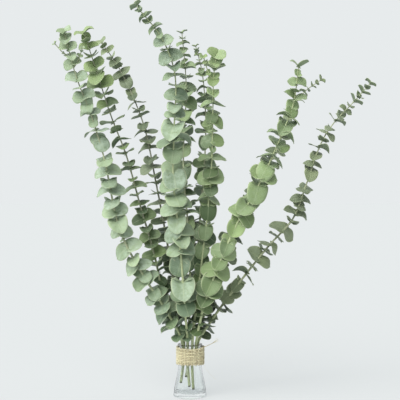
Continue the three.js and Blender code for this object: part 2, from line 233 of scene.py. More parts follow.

# One entry for each branch. From "slot" to "sprigs" the values are the CAD model's. "tones" go
# from the lowest leaves to the highest, and are 0 for dark green and 1 for light; "pallor" is how
# much bloom the leaves have; "bark" is how brown the stem is.
# The low tones of the rear branches are partly painted shade, for leaves that stand behind the
# others.
BRANCHES = [
    {
        "name": "branch_far_left",
        "slot_name": "eucalyptus_blue_green",
        "tones": [0.75, 0.7, 0.6, 0.5, 0.5, 0.6],
        "pallor": 0.6,
        "bark": 0.55,
        "slot": 216,
        "route": [
            [-25, -14, 95], [-50, -22, 135], [-75, -32, 185], [-92, -42, 265], [-105, -48, 310],
            [-120, -54, 350], [-132, -58, 396],
        ],
        "leaves_from": 63,
        "spans": [27, 28, 29, 30, 25, 18],
        "lifts": [0.1, -0.2, -0.3, -0.2, -0.1, 0.4],
        "facings": [0.4, 0.5, 0.5, 0.6, 0.5, 0.5],
        "breadth": 1.25,
        "sprigs": [
            {"start": 0.93, "tip": [-142, -60, 384], "spans": [7, 5]},
            {"start": 0.9, "tip": [-113, -55, 381], "spans": [9, 6]},
        ],
    },
    {
        "name": "branch_left",
        "slot_name": "eucalyptus_green",
        "tones": [0.6, 0.5, 0.2, 0.15, 0.55, 0.9],
        "pallor": 0.2,
        "bark": 0.75,
        "slot": 180,
        "foot": [-10.4, 1, 14],
        "route": [
            [-28, 6, 105], [-41, 8, 160], [-56, 8, 212], [-72, 4, 270], [-88, 0, 312],
            [-102, -6, 356], [-117, -12, 404],
        ],
        "leaves_from": 72,
        "spans": [26, 27, 25, 21, 31, 22],
        "lifts": [0.3, -0.1, -0.2, 0, -0.2, 0.4],
        "facings": [0.3, 0.4, 0.3, 0, 0.6, 0.6],
        "breadth": 1.15,
        "sprigs": [],
    },
    {
        "name": "branch_left_rear",
        "slot_name": "eucalyptus_grey_green",
        "tones": [0.2, 0.3, 0.35, 0.4, 0.45, 0.5],
        "pallor": 0.25,
        "bark": 0.9,
        "slot": 144,
        "route": [
            [-16, 24, 105], [-26, 34, 165], [-40, 44, 238], [-56, 52, 310], [-84, 61, 374],
            [-107, 64, 408],
        ],
        "leaves_from": 76,
        "spans": [24, 25, 27, 29, 26, 14],
        "lifts": [0.4, -0.1, -0.2, -0.2, -0.1, 0.3],
        "facings": [0.4, 0.4, 0.4, 0.5, 0.6, 0.4],
        "breadth": 1.2,
        "sprigs": [],
    },
    {
        "name": "branch_tall_front",
        "slot_name": "eucalyptus_blue_green",
        "tones": [0.45, 0.45, 0.45, 0.35, 0.3, 0.4],
        "pallor": 0.45,
        "bark": 0.15,
        "slot": 252,
        "foot": [-0.5, -5, 11],
        "route": [
            [-6, -24, 110], [-11, -42, 180], [-17, -56, 240], [-16, -65, 290], [-15, -76, 350],
            [-28, -83, 385], [-54, -90, 417],
        ],
        "leaves_from": 62,
        "spans": [26, 33, 36, 33, 25, 13],
        "lifts": [0.7, -0.4, -0.4, -0.3, -0.2, 0.3],
        "facings": [0.3, 0.7, 0.7, 0.6, 0.5, 0.1],
        "breadth": 1.3,
        "sprigs": [],
    },
    {
        "name": "branch_tall_rear",
        "slot_name": "eucalyptus_green",
        "tones": [0.1, 0.15, 0.2, 0.25, 0.3, 0.4],
        "pallor": 0.35,
        "bark": 0.6,
        "slot": 108,
        "foot": [-4.5, 4, 20],
        "route": [[0, 12, 105], [-2, 22, 180], [-8, 32, 262], [-5, 44, 352], [-10, 50, 416]],
        "leaves_from": 76,
        "spans": [26, 27, 29, 30, 27, 12],
        "lifts": [0.5, -0.2, -0.3, -0.3, -0.2, 0.3],
        "facings": [0.4, 0.4, 0.4, 0.5, 0.5, 0.4],
        "breadth": 1.25,
        "sprigs": [],
    },
    {
        "name": "branch_middle_rear",
        "slot_name": "eucalyptus_green",
        "tones": [0.1, 0.15, 0.25, 0.25, 0.35, 0.45],
        "pallor": 0.3,
        "bark": 0.6,
        "slot": 72,
        "route": [[5, 26, 105], [10, 42, 180], [18, 58, 300], [14, 68, 370], [6, 72, 404]],
        "leaves_from": 76,
        "spans": [25, 27, 27, 26, 21, 9],
        "lifts": [0.5, -0.2, -0.3, -0.3, -0.2, 0.3],
        "facings": [0.4, 0.4, 0.4, 0.4, 0.4, 0.2],
        "breadth": 1.25,
        "sprigs": [],
    },
    {
        "name": "branch_middle_front",
        "slot_name": "eucalyptus_green",
        "tones": [0.45, 0.4, 0.4, 0.45, 0.55, 0.8],
        "pallor": 0.25,
        "bark": 0.1,
        "slot": 288,
        "foot": [3.7, -4, 8],
        "route": [
            [8, -10, 108], [15, -18, 165], [20, -24, 210], [24, -29, 260], [25, -31, 305],
            [26, -34, 352], [29, -35, 377],
        ],
        "leaves_from": 62,
        "spans": [26, 29, 30, 29, 25, 19],
        "lifts": [0.6, -0.3, -0.5, -0.4, -0.2, 0.4],
        "facings": [0.4, 0.7, 0.8, 0.7, 0.5, 0.7],
        "breadth": 1.3,
        "sprigs": [{"start": 0.92, "tip": [15, -38, 373], "spans": [15, 10]}],
    },
    {
        "name": "branch_right_front",
        "slot_name": "eucalyptus_green",
        "tones": [0.4, 0.5, 0.55, 0.55, 0.6, 0.55],
        "pallor": 0.25,
        "bark": 0.1,
        "slot": 324,
        "route": [
            [17, -26, 108], [48, -45, 188], [74, -54, 236], [98, -62, 290], [109, -66, 320],
            [114, -70, 358],
        ],
        "leaves_from": 63,
        "spans": [27, 30, 31, 31, 29, 17],
        "lifts": [0.1, -0.3, -0.3, -0.3, -0.2, 0.4],
        "facings": [0.4, 0.5, 0.6, 0.6, 0.5, 0.4],
        "breadth": 1.25,
        "sprigs": [],
    },
    {
        "name": "branch_right_rear",
        "slot_name": "eucalyptus_grey_green",
        "tones": [0.2, 0.25, 0.3, 0.3, 0.4, 0.4],
        "pallor": 0.2,
        "bark": 0.6,
        "slot": 36,
        "route": [
            [17, 12, 92], [33, 22, 135], [52, 30, 186], [86, 38, 250], [103, 42, 282],
            [117, 45, 324], [134, 47, 346], [153, 48, 360],
        ],
        "leaves_from": 70,
        "spans": [25, 26, 26, 25, 20, 10],
        "lifts": [0.2, -0.2, -0.2, -0.2, -0.1, 0.3],
        "facings": [0.4, 0.4, 0.4, 0.4, 0.3, 0.2],
        "breadth": 1.15,
        "sprigs": [],
    },
    {
        "name": "branch_far_right",
        "slot_name": "eucalyptus_grey_green",
        "tones": [0.75, 0.75, 0.6, 0.5, 0.45, 0.35],
        "pallor": 0.2,
        "bark": 0.5,
        "slot": 0,
        "route": [
            [24, 0, 84], [62, 8, 134], [90, 12, 168], [117, 16, 198], [133, 20, 238],
            [150, 24, 284], [163, 26, 305], [193, 30, 337], [208, 32, 354],
        ],
        "leaves_from": 64,
        "spans": [28, 30, 30, 28, 24, 14],
        "lifts": [0.1, -0.2, -0.1, -0.1, 0, 0.4],
        "facings": [0.3, 0.4, 0.4, 0.3, 0.2, 0.2],
        "breadth": 1.1,
        "sprigs": [],
    },
]

# ---------------------------------------------------------------- small helpers


def scatter(seed):
    """A repeatable spread of values from -1 to 1."""
    value = math.sin(seed * 12.9898 + 78.233) * 43758.5453
    return 2 * (value - math.floor(value)) - 1


def mix(a, b, t):
    return a + (b - a) * t


def clamp(value):
    """The value, kept between 0 and 1."""
    return min(max(value, 0), 1)


def along(values, t):
    """The value at t, from 0 to 1, along evenly spaced values."""
    place = clamp(t) * (len(values) - 1)
    step = min(int(place), len(values) - 2)
    return mix(values[step], values[step + 1], place - step)


def ring_point(radius, degrees, height):
    """A point on a level circle round the vase's axis."""
    angle = math.radians(degrees)
    return [radius * math.cos(angle), radius * math.sin(angle), height]


class Curve:
    """A centripetal Catmull-Rom curve through points in millimetres, measured by its length."""

    DIVISIONS = 200

    def __init__(self, points):
        self.points = [Vector(point) for point in points]
        count = self.DIVISIONS + 1
        samples = [self.point(i / self.DIVISIONS) for i in range(count)]
        steps = [(samples[i] - samples[i - 1]).length for i in range(1, count)]
        self.lengths = [0.0, *np.cumsum(steps)]
        self.length = self.lengths[-1]

    def point(self, t):
        """The point at the curve's own parameter t, from 0 to 1."""
        points = self.points
        last = len(points) - 1
        place = clamp(t) * last
        i = min(int(place), last - 1)
        weight = place - i
        b, c = points[i], points[i + 1]
        a = points[i - 1] if i > 0 else 2 * points[0] - points[1]
        d = points[i + 2] if i + 2 <= last else 2 * points[last] - points[last - 1]
        gap_a, gap_b, gap_c = ((q - p).length ** 0.5 for p, q in ((a, b), (b, c), (c, d)))
        start = ((b - a) / gap_a - (c - a) / (gap_a + gap_b) + (c - b) / gap_b) * gap_b
        end = ((c - b) / gap_b - (d - b) / (gap_b + gap_c) + (d - c) / gap_c) * gap_b
        square = -3 * b + 3 * c - 2 * start - end
        cube = 2 * b - 2 * c + start + end
        return b + start * weight + square * weight**2 + cube * weight**3

    def parameter(self, u):
        """The curve's own parameter at u, from 0 to 1, along its length."""
        steps = np.linspace(0, 1, len(self.lengths))
        return float(np.interp(u * self.length, self.lengths, steps))

    def frame(self, u):
        """The place at u along its length, and the axes there: level and other are across it."""
        t = self.parameter(clamp(u))
        low, high = max(t - 1e-4, 0), min(t + 1e-4, 1)
        axis = (self.point(high) - self.point(low)).normalized()
        level = BACK.cross(axis).normalized()
        return self.point(t), axis, level, axis.cross(level)


class MeshMaker:
    """Gathers vertices, faces and one value of each attribute for every vertex."""

    def __init__(self, *attributes):
        self.vertices = []
        self.faces = []
        self.values = {name: [] for name in attributes}

    def add(self, vertices, faces, **values):
        start = len(self.vertices)
        self.vertices.extend(vertices)
        self.faces.extend([[start + i for i in face] for face in faces])
        for name, rows in values.items():
            self.values[name].extend(rows)

    def build(self, name, material):
        """Makes the object, from millimetres to metres."""
        mesh = bpy.data.meshes.new(name)
        mesh.from_pydata([Vector(v) * MM for v in self.vertices], [], self.faces)
        for key, rows in self.values.items():
            layer = mesh.attributes.new(key, "FLOAT_COLOR", "POINT")
            colours = [(*row, 1.0) for row in rows]
            layer.data.foreach_set("color", np.array(colours, np.float32).ravel())
        mesh.shade_smooth()
        mesh.materials.append(material)
        obj = bpy.data.objects.new(name, mesh)
        bpy.context.scene.collection.objects.link(obj)
        return obj


def place_piece(obj, node):
    """Puts a piece on the one body, in place of its CAD node."""
    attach(obj, "root")
    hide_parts(node)


def shell_faces(rows, columns):
    """The faces of a closed shell: a front grid, a back grid after it, and the rim between them."""
    width = columns + 1
    count = (rows + 1) * width
    faces = []
    for row in range(rows):
        for column in range(columns):
            a = row * width + column
            b, c, d = a + width, a + width + 1, a + 1
            faces.append([a, b, c, d])
            faces.append([count + d, count + c, count + b, count + a])
    rim = list(range(width))
    rim += [row * width + columns for row in range(1, rows + 1)]
    rim += [rows * width + column for column in range(columns - 1, -1, -1)]
    rim += [row * width for row in range(rows - 1, 0, -1)]
    for i, a in enumerate(rim):
        b = rim[(i + 1) % len(rim)]
        faces.append([a, b, count + b, count + a])
    return faces


def tube_faces(rings, sides):
    """The faces of a closed tube of rings of vertices, with a face over each end."""
    faces = []
    for ring in range(rings - 1):
        low, high = ring * sides, (ring + 1) * sides
        for side in range(sides):
            step = (side + 1) % sides
            faces.append([low + side, low + step, high + step, high + side])
    faces.append(list(range(sides - 1, -1, -1)))
    faces.append([(rings - 1) * sides + side for side in range(sides)])
    return faces


def tube(points, radii, sides):
    """Vertices and faces of a closed tube through points, with its radius at each of them."""
    vertices = []
    across = None
    for i, point in enumerate(points):
        ahead = points[min(i + 1, len(points) - 1)]
        behind = points[max(i - 1, 0)]
        axis = (ahead - behind).normalized()
        if across is None:
            across = axis.orthogonal()
        across = (across - axis * across.dot(axis)).normalized()
        other = axis.cross(across)
        for side in range(sides):
            angle = 2 * math.pi * side / sides
            ray = across * math.cos(angle) + other * math.sin(angle)
            vertices.append(point + ray * radii[i])
    return vertices, tube_faces(len(points), sides)


# ---------------------------------------------------------------- materials


class Nodes:
    """Short calls that add shader nodes to a material."""

    def __init__(self, name):
        self.material = bpy.data.materials.new(name)
        self.material.use_nodes = True
        self.tree = self.material.node_tree
        self.shader = next(n for n in self.tree.nodes if n.type == "BSDF_PRINCIPLED")

    def add(self, kind, **settings):
        node = self.tree.nodes.new(kind)
        for key, value in settings.items():
            setattr(node, key, value)
        return node

    def link(self, source, target):
        self.tree.links.new(source, target)

    def set(self, **values):
        """Sets the shader's own inputs, by their names with underscores for spaces."""
        for key, value in values.items():
            self.shader.inputs[key.replace("_", " ")].default_value = value

    def noise(self, scale, detail=3.0, roughness=0.55):
        """Noise with about scale features in each metre."""
        coordinates = self.add("ShaderNodeTexCoord")
        noise = self.add("ShaderNodeTexNoise")
        noise.inputs["Scale"].default_value = scale
        noise.inputs["Detail"].default_value = detail
        noise.inputs["Roughness"].default_value = roughness
        self.link(coordinates.outputs["Object"], noise.inputs["Vector"])
        return noise.outputs["Fac"]

    def attribute(self, name):
        """The three values of a mesh attribute."""
        source = self.add("ShaderNodeAttribute", attribute_name=name)
        split = self.add("ShaderNodeSeparateColor")
        self.link(source.outputs["Color"], split.inputs["Color"])
        return split.outputs["Red"], split.outputs["Green"], split.outputs["Blue"]

    def math(self, operation, a, b=0.0):
        node = self.add("ShaderNodeMath", operation=operation)
        for socket, value in zip(node.inputs, (a, b)):
            if isinstance(value, (int, float)):
                socket.default_value = value
            else:
                self.link(value, socket)
        return node.outputs[0]

    def times(self, a, b):
        return self.math("MULTIPLY", a, b)

    def remap(self, value, low, high, out_low=0.0, out_high=1.0):
        """A smooth step from out_low to out_high as the value goes from low to high."""
        node = self.add("ShaderNodeMapRange", interpolation_type="SMOOTHSTEP")
        for key, number in (("From Min", low), ("From Max", high), ("To Min", out_low),
                            ("To Max", out_high)):
            node.inputs[key].default_value = number
        self.link(value, node.inputs["Value"])
        return node.outputs["Result"]

    def blend(self, factor, a, b):
        """A mix of two colours, each a colour or a socket."""
        node = self.add("ShaderNodeMix", data_type="RGBA")
        self.link(factor, node.inputs["Factor"])
        for socket, value in ((node.inputs[6], a), (node.inputs[7], b)):
            if isinstance(value, (tuple, list)):
                socket.default_value = (*value, 1.0)
            else:
                self.link(value, socket)
        return node.outputs[2]

    def bump(self, height, distance, strength):
        """Relief from a height socket, with its distance in metres."""
        node = self.add("ShaderNodeBump")
        node.inputs["Distance"].default_value = distance
        node.inputs["Strength"].default_value = strength
        self.link(height, node.inputs["Height"])
        self.link(node.outputs["Normal"], self.shader.inputs["Normal"])


def leaf_material(name, dark, light, bloom):
    """A matt leaf: green with a waxy bloom, faint midrib and side veins, and pale margins."""
    nodes = Nodes(name)
    length, width, tone = nodes.attribute("leaf_place")
    young, under, bloom_amount = nodes.attribute("leaf_kind")
    patches = nodes.noise(210.0, 4.0, 0.6)
    grain = nodes.noise(1500.0, 3.0)
    colour = nodes.blend(tone, dark, light)
    colour = nodes.blend(nodes.remap(young, 0.2, 1.0, 0.0, 0.5), colour, YOUNG_LEAF)
    waxy = nodes.times(nodes.remap(patches, 0.3, 0.75, 0.3, 1.0), bloom_amount)
    colour = nodes.blend(waxy, colour, bloom)
    # Painted shade: the underside of each leaf is darkened to a dark grey-green.
    colour = nodes.blend(nodes.remap(under, 0.4, 0.6, 0.0, 0.6), colour, UNDERSIDE_PAINTED_SHADE)
    off_middle = nodes.math("ABSOLUTE", nodes.math("SUBTRACT", width, 0.5))
    # The side veins leave the midrib at a slant.
    slant = nodes.math("SUBTRACT", length, nodes.times(off_middle, 0.9))
    waves = nodes.math("SINE", nodes.times(slant, 55.0))
    veins = nodes.remap(waves, 0.7, 1.0, 0.0, 0.16)
    colour = nodes.blend(veins, colour, VEIN)
    midrib = nodes.remap(off_middle, 0.008, 0.035, 0.32, 0.0)
    colour = nodes.blend(midrib, colour, VEIN)
    sides = nodes.remap(off_middle, 0.44, 0.5, 0.0, 0.7)
    tip = nodes.remap(length, 0.93, 1.0, 0.0, 0.7)
    colour = nodes.blend(nodes.math("MAXIMUM", sides, tip), colour, MARGIN)
    base = nodes.remap(length, 0.0, 0.12, 0.3, 0.0)
    colour = nodes.blend(base, colour, VEIN)
    specks = nodes.remap(nodes.noise(620.0, 2.0, 0.4), 0.68, 0.76, 0.0, 0.5)
    colour = nodes.blend(specks, colour, SPECK)
    nodes.link(colour, nodes.shader.inputs["Base Color"])
    nodes.link(nodes.remap(patches, 0.3, 0.7, 0.45, 0.62), nodes.shader.inputs["Roughness"])
    nodes.set(Specular_IOR_Level=0.35, Sheen_Weight=0.1, Sheen_Roughness=0.5,
              Sheen_Tint=SHEEN_TINT)
    ribs = nodes.math("ADD", nodes.times(veins, 1.4), nodes.times(midrib, 1.6))
    relief = nodes.math("ADD", ribs, nodes.times(grain, 0.35))
    nodes.bump(relief, 0.00025, 0.8)
    return nodes.material


def stem_material():
    """A stem: smooth and pale green, or brown and rough, with a dark dry end where it was cut."""
    nodes = Nodes("eucalyptus_stem")
    bark, swelling, cut = nodes.attribute("stem_place")
    streaks = nodes.noise(700.0, 4.0, 0.65)
    colour = nodes.blend(bark, STEM_GREEN, STEM_BROWN)
    colour = nodes.blend(nodes.remap(streaks, 0.45, 0.75, 0.0, 0.45), colour, STEM_SHADE)
    colour = nodes.blend(nodes.remap(swelling, 0.2, 1.0, 0.0, 0.4), colour, VEIN)
    colour = nodes.blend(cut, colour, CUT_END)
    nodes.link(colour, nodes.shader.inputs["Base Color"])
    nodes.set(Roughness=0.6, Specular_IOR_Level=0.35)
    nodes.bump(streaks, 0.00015, 0.7)
    return nodes.material


def glass_material():
    """Clear bottle glass with a painted dark reflection: it looks greyer and darker where it is
    seen edge-on.
    """
    nodes = Nodes("bottle_glass")
    edge = nodes.add("ShaderNodeLayerWeight")
    edge.inputs["Blend"].default_value = 0.5
    # Painted reflection: the edges seen edge-on are tinted dark grey.
    colour = nodes.blend(nodes.remap(edge.outputs["Facing"], 0.4, 0.85), GLASS_CLEAR, GLASS_EDGE_PAINTED_REFLECTION)
    nodes.link(colour, nodes.shader.inputs["Base Color"])
    nodes.set(Transmission_Weight=1.0, IOR=1.45, Roughness=0.01, Specular_IOR_Level=0.5)
    nodes.bump(nodes.noise(45.0, 1.0), 0.0006, 0.25)
    return nodes.material


def jute_material():
    """Dry jute yarn: straw-coloured, with darker and paler fibres along it."""
    nodes = Nodes("jute_yarn")
    turn, front, tone = nodes.attribute("yarn_place")
    fibres = nodes.noise(2600.0, 4.0, 0.7)
    blotches = nodes.noise(240.0, 2.0)
    colour = nodes.blend(nodes.remap(tone, 0.0, 1.0), JUTE_DARK, JUTE_LIGHT)
    colour = nodes.blend(nodes.remap(fibres, 0.35, 0.75, 0.0, 0.65), colour, JUTE_PALE)
    colour = nodes.blend(nodes.remap(blotches, 0.5, 0.75, 0.0, 0.4), colour, JUTE_BROWN_AND_GAP_SHADE)
    # Painted shade: the cloth behind the yarns is darker, as in the shadow of the weave.
    colour = nodes.blend(nodes.remap(front, 0.0, 0.5, 0.55, 0.0), colour, JUTE_BROWN_AND_GAP_SHADE)
    nodes.link(colour, nodes.shader.inputs["Base Color"])
    nodes.set(Roughness=0.9, Specular_IOR_Level=0.15, Sheen_Weight=0.3, Sheen_Roughness=0.6)
    twist = nodes.math("SINE", nodes.times(turn, 40.0))
    relief = nodes.math("ADD", fibres, nodes.times(twist, 0.3))
    nodes.bump(relief, 0.0002, 0.8)
    return nodes.material


def floor_material():
    """A light table: it glows a little, so the shadow on it is faint."""
    nodes = Nodes("studio_floor")
    nodes.set(Base_Color=FLOOR_COLOUR, Roughness=0.95, Specular_IOR_Level=0.0,
              Emission_Color=FLOOR_GLOW, Emission_Strength=1.0)
    return nodes.material


# ---------------------------------------------------------------- branches


def stem_curve(branch):
    """The branch's own line, from its cut foot inside the vase to its tip."""
    if "foot" in branch:
        points = [branch["foot"], ring_point(RING_RADIUS_LOW, branch["slot"], BAND_LOW)]
    else:
        points = [ring_point(RING_RADIUS_LOW, branch["slot"], HIDDEN_FOOT_HEIGHT)]
    points.append(ring_point(RING_RADIUS_HIGH, branch["slot"], VASE_HEIGHT))
    return Curve(points + branch["route"])


def sprig_curve(stem, sprig):
    """The line of a side shoot, which leaves the stem and bends upwards."""
    root = stem.frame(sprig["start"])[0]
    end = Vector(sprig["tip"])
    bend = root.lerp(end, 0.5)
    bend.z = mix(root.z, end.z, 0.35)
    return Curve([root, bend, end])


def distance_to_height(curve, height):
    """The distance along a curve at which it first reaches a height."""
    distance = 0
    while curve.frame(distance / curve.length)[0].z < height:
        distance += 1
    return distance


def leaf_basis(curve, pair, side):
    """Where a leaf leaves the stem, and its axes: outwards, across it and up the stem."""
    point, axis, level, other = curve.frame(pair["distance"] / curve.length)
    angle = pair["turn"] + QUARTER_TURN * side
    out = level * math.cos(angle) + other * math.sin(angle)
    basis = Matrix((out, axis.cross(out), axis)).transposed()
    return point, Matrix.Rotation(pair["tilt"], 3, level) @ basis


def leaf_pairs(curve, first, growth, seed, solid):
    """The pairs that the CAD branch has, found by a corner of one leaf's blunt end."""
    pairs = []
    distance = curve.length - TIP_BARE
    count = 0
    while distance > first:
        grown = (distance - first) / (curve.length - first)
        span = along(growth["spans"], grown) * (1 + SPAN_SCATTER * scatter(seed + count))
        lift = along(growth["lifts"], grown) + LIFT_SCATTER * scatter(seed + count + 0.3)
        turn = TURN_SCATTER * scatter(seed + count + 0.6)
        tilt = along(growth["facings"], grown) + TILT_SCATTER * scatter(seed + count + 0.8)
        for attempt, extra_turn in enumerate(TURNS_TO_TRY):
            reach = span * (1 - SHRINK * attempt) / 2
            pair = {
                "distance": distance,
                "turn": turn + extra_turn,
                "first_side": count % 2,
                "reach": reach,
                "lift": lift,
                "tilt": tilt,
                "grown": grown,
                "seed": seed + count,
            }
            point, basis = leaf_basis(curve, pair, pair["first_side"])
            half_end = reach * growth["breadth"] * LEAF_END_BREADTH / 2
            corner = Vector((reach, half_end, lift * reach + LEAF_THICKNESS / 2))
            if solid.find(point + basis @ corner)[2] < FOUND_WITHIN:
                pairs.append(pair)
                break
        distance -= PAIR_SPACING + PAIR_SPACING_PER_SPAN * span
        count += 1
    return pairs


def leaf_outline(u):
    """The leaf's breadth at u along it, as a share of the greatest."""
    if u < WIDEST_AT:
        bulge = math.sqrt(max(1 - ((WIDEST_AT - u) / WIDEST_AT) ** 2, 0))
        return BASE_SHARE + (1 - BASE_SHARE) * bulge
    bulge = max(1 - ((u - WIDEST_AT) / (1 - WIDEST_AT)) ** 2.4, 0) ** 0.5
    return bulge * (1 - TIP_SHARE) + TIP_SHARE


def leaf_shape(seed, young):
    """How one leaf is bent, cupped and folded."""
    return {
        "broad": 1.0 + 0.1 * scatter(seed + 0.11),
        "arch": 0.05 + 0.1 * scatter(seed + 0.17),
        "cup": 0.08 + 0.3 * scatter(seed + 0.23) + 0.15 * young,
        "fold": 0.12 + 0.22 * scatter(seed + 0.31) + 0.1 * young,
        "wave": 0.05 + 0.03 * scatter(seed + 0.37),
        "phase": 3.0 * scatter(seed + 0.41),
        "twist": 0.3 * scatter(seed + 0.43),
        "hook": -0.04 + 0.14 * scatter(seed + 0.47),
    }


def leaf_surface(reach, breadth, lift, shape):
    """Points of one leaf's middle surface, with x outwards, y across and z up the stem."""
    cells = []
    for row in range(LEAF_ROWS + 1):
        u = math.sin(row / LEAF_ROWS * QUARTER_TURN)
        half = reach * breadth / 2 * leaf_outline(u) * shape["broad"]
        for column in range(LEAF_COLUMNS + 1):
            v = 2 * column / LEAF_COLUMNS - 1
            # The lobes at the base sweep back round the stem, and the tip has a small point.
            x = reach * (u - LOBE_SWEEP * abs(v) ** 1.5 * (1 - u) ** 2)
            x += reach * TIP_POINT * (1 - abs(v)) ** 3 * u**8
            y = half * v
            z = lift * x
            z += reach * shape["arch"] * 4 * u * (1 - u)
            z += shape["cup"] * half * abs(v) ** 1.7
            z += shape["fold"] * (math.hypot(y, FOLD_ROUNDING) - FOLD_ROUNDING)
            z += reach * shape["wave"] * math.sin(7 * u + shape["phase"]) * v * abs(v)
            z += shape["twist"] * y * u
            z += reach * shape["hook"] * u**4
            cells.append((Vector((x, y, z)), u, v))
    return cells


def shade_at(point):
    """How much painted shade darkens a leaf at a place low in the middle of the bunch, behind its
    front.
    """
    low = clamp(1 - point.z / SHADE_HEIGHT)
    behind = clamp(1 + point.y / SHADE_FRONT)
    middle = clamp(SHADE_MIDDLE - abs(point.x) / SHADE_WIDTH)
    return low * behind * middle


def add_leaf(maker, curve, pair, side, branch):
    """One closed thin leaf.

    leaf_place holds how far along and across the leaf a vertex is, and the leaf's tone. leaf_kind
    holds how young the leaf is, whether the vertex is on its underside, and its bloom.
    """
    point, basis = leaf_basis(curve, pair, side)
    seed = pair["seed"] * 3.7 + side
    young = max(pair["grown"] - YOUNG_FROM, 0) / (1 - YOUNG_FROM)
    shape = leaf_shape(seed, young)
    # The lowest leaves, which the CAD model makes small to keep them apart, overlap here.
    reach = pair["reach"] * (1 + LOW_LEAF_GROWTH * max(1 - point.z / LOW_LEAF_HEIGHT, 0))
    cells = leaf_surface(reach, branch["breadth"], pair["lift"], shape)
    width = LEAF_COLUMNS + 1
    shade = shade_at(point)
    tone = along(branch["tones"], pair["grown"]) + TONE_SCATTER * scatter(seed + 0.53)
    bloom = branch["pallor"] + BLOOM_SCATTER * scatter(seed + 0.59)
    # Painted shade lowers the leaf's tone and its bloom.
    tone, bloom = clamp(tone - shade), clamp(bloom - shade)
    vertices, place, kind = [], [], []
    for layer in (1, -1):
        for i, (local, u, v) in enumerate(cells):
            row, column = divmod(i, width)
            ahead = cells[min(row + 1, LEAF_ROWS) * width + column][0]
            behind = cells[max(row - 1, 0) * width + column][0]
            right = cells[row * width + min(column + 1, LEAF_COLUMNS)][0]
            left = cells[row * width + max(column - 1, 0)][0]
            normal = (ahead - behind).cross(right - left).normalized()
            rim = column in (0, LEAF_COLUMNS) or row == LEAF_ROWS
            thick = LEAF_SHELL * (RIM_SHARE if rim else 1)
            vertices.append(point + basis @ (local + normal * thick * layer))
            place.append((u, v / 2 + 0.5, tone))
            kind.append((young, 0.0 if layer == 1 else 1.0, bloom))
    faces = shell_faces(LEAF_ROWS, LEAF_COLUMNS)
    maker.add(vertices, faces, leaf_place=place, leaf_kind=kind)


def add_stem(maker, curve, start_radius, pairs, bark, first):
    """A round tapered stem, thicker where leaves grow from it.

    first is how far along the stem its lowest leaves are. stem_place holds how brown the bark is,
    how near a leaf pair is, and how near the cut end is.
    """
    steps = int(curve.length / STEM_STEP)
    leaf_places = [pair["distance"] for pair in pairs]
    points, radii, place = [], [], []
    for i in range(steps + 1):
        u = i / steps
        distance = u * curve.length
        point = curve.frame(u)[0]
        near = min((abs(distance - leaf) for leaf in leaf_places), default=math.inf)
        swelling = math.exp(-((near / SWELLING_LENGTH) ** 2))
        radii.append(mix(start_radius, TIP_RADIUS, u) * (0.9 + SWELLING * swelling))
        sway = Vector((scatter(i * 0.37), scatter(i * 0.53 + 9), 0))
        points.append(point + sway * STEM_SWAY * start_radius * u)
        # Bark darkens the stem above its lowest leaves, and only a stem that was cut has a cut end.
        brown = bark * clamp((distance - first) / BARK_LENGTH)
        cut = clamp(1 - distance / CUT_LENGTH) if first > 0 else 0
        place.extend([(brown, swelling, cut)] * STEM_SIDES)
    vertices, faces = tube(points, radii, STEM_SIDES)
    maker.add(vertices, faces, stem_place=place)


def make_branch(index, branch, node, looks, stem_look):
    """One branch: its stems in one piece and its leaves in another."""
    solid = KDTree(len(node.data.vertices))
    for i, vertex in enumerate(node.data.vertices):
        solid.insert(vertex.co / MM, i)
    solid.balance()
    curve = stem_curve(branch)
    first = distance_to_height(curve, branch["leaves_from"])
    pairs = leaf_pairs(curve, first, branch, SEED_STEP * index, solid)
    lines = [(curve, STEM_RADIUS, first, pairs)]
    for number, sprig in enumerate(branch["sprigs"]):
        line = sprig_curve(curve, sprig)
        seed = SEED_STEP * index + SPRIG_SEED_STEP * (number + 1)
        growth = {**branch, "spans": sprig["spans"], "lifts": SPRIG_LIFTS}
        found = leaf_pairs(line, SPRIG_BARE, growth, seed, solid)
        for pair in found:
            pair["grown"] = mix(SPRIG_GROWN_FROM, 1, pair["grown"])
        # A side shoot has bark from its root.
        lines.append((line, SPRIG_RADIUS, -BARK_LENGTH, found))
    stems = MeshMaker("stem_place")
    leaves = MeshMaker("leaf_place", "leaf_kind")
    for line, radius, start, line_pairs in lines:
        add_stem(stems, line, radius, line_pairs, branch["bark"], start)
        for pair in line_pairs:
            for side in (0, 2):
                add_leaf(leaves, line, pair, pair["first_side"] + side, branch)
    stem_piece = stems.build(branch["name"] + "_stem", stem_look)
    leaf_piece = leaves.build(branch["name"] + "_leaves", looks[branch["slot_name"]])
    for piece in (stem_piece, leaf_piece):
        place_piece(piece, branch["name"])


# ---------------------------------------------------------------- vase


def arc(centre, radius, start, end, steps):
    """Points on an arc of a profile, as radius and height, with angles in degrees."""
    angles = [math.radians(mix(start, end, i / steps)) for i in range(steps + 1)]
    return [(centre[0] + radius * math.cos(a), centre[1] + radius * math.sin(a)) for a in angles]


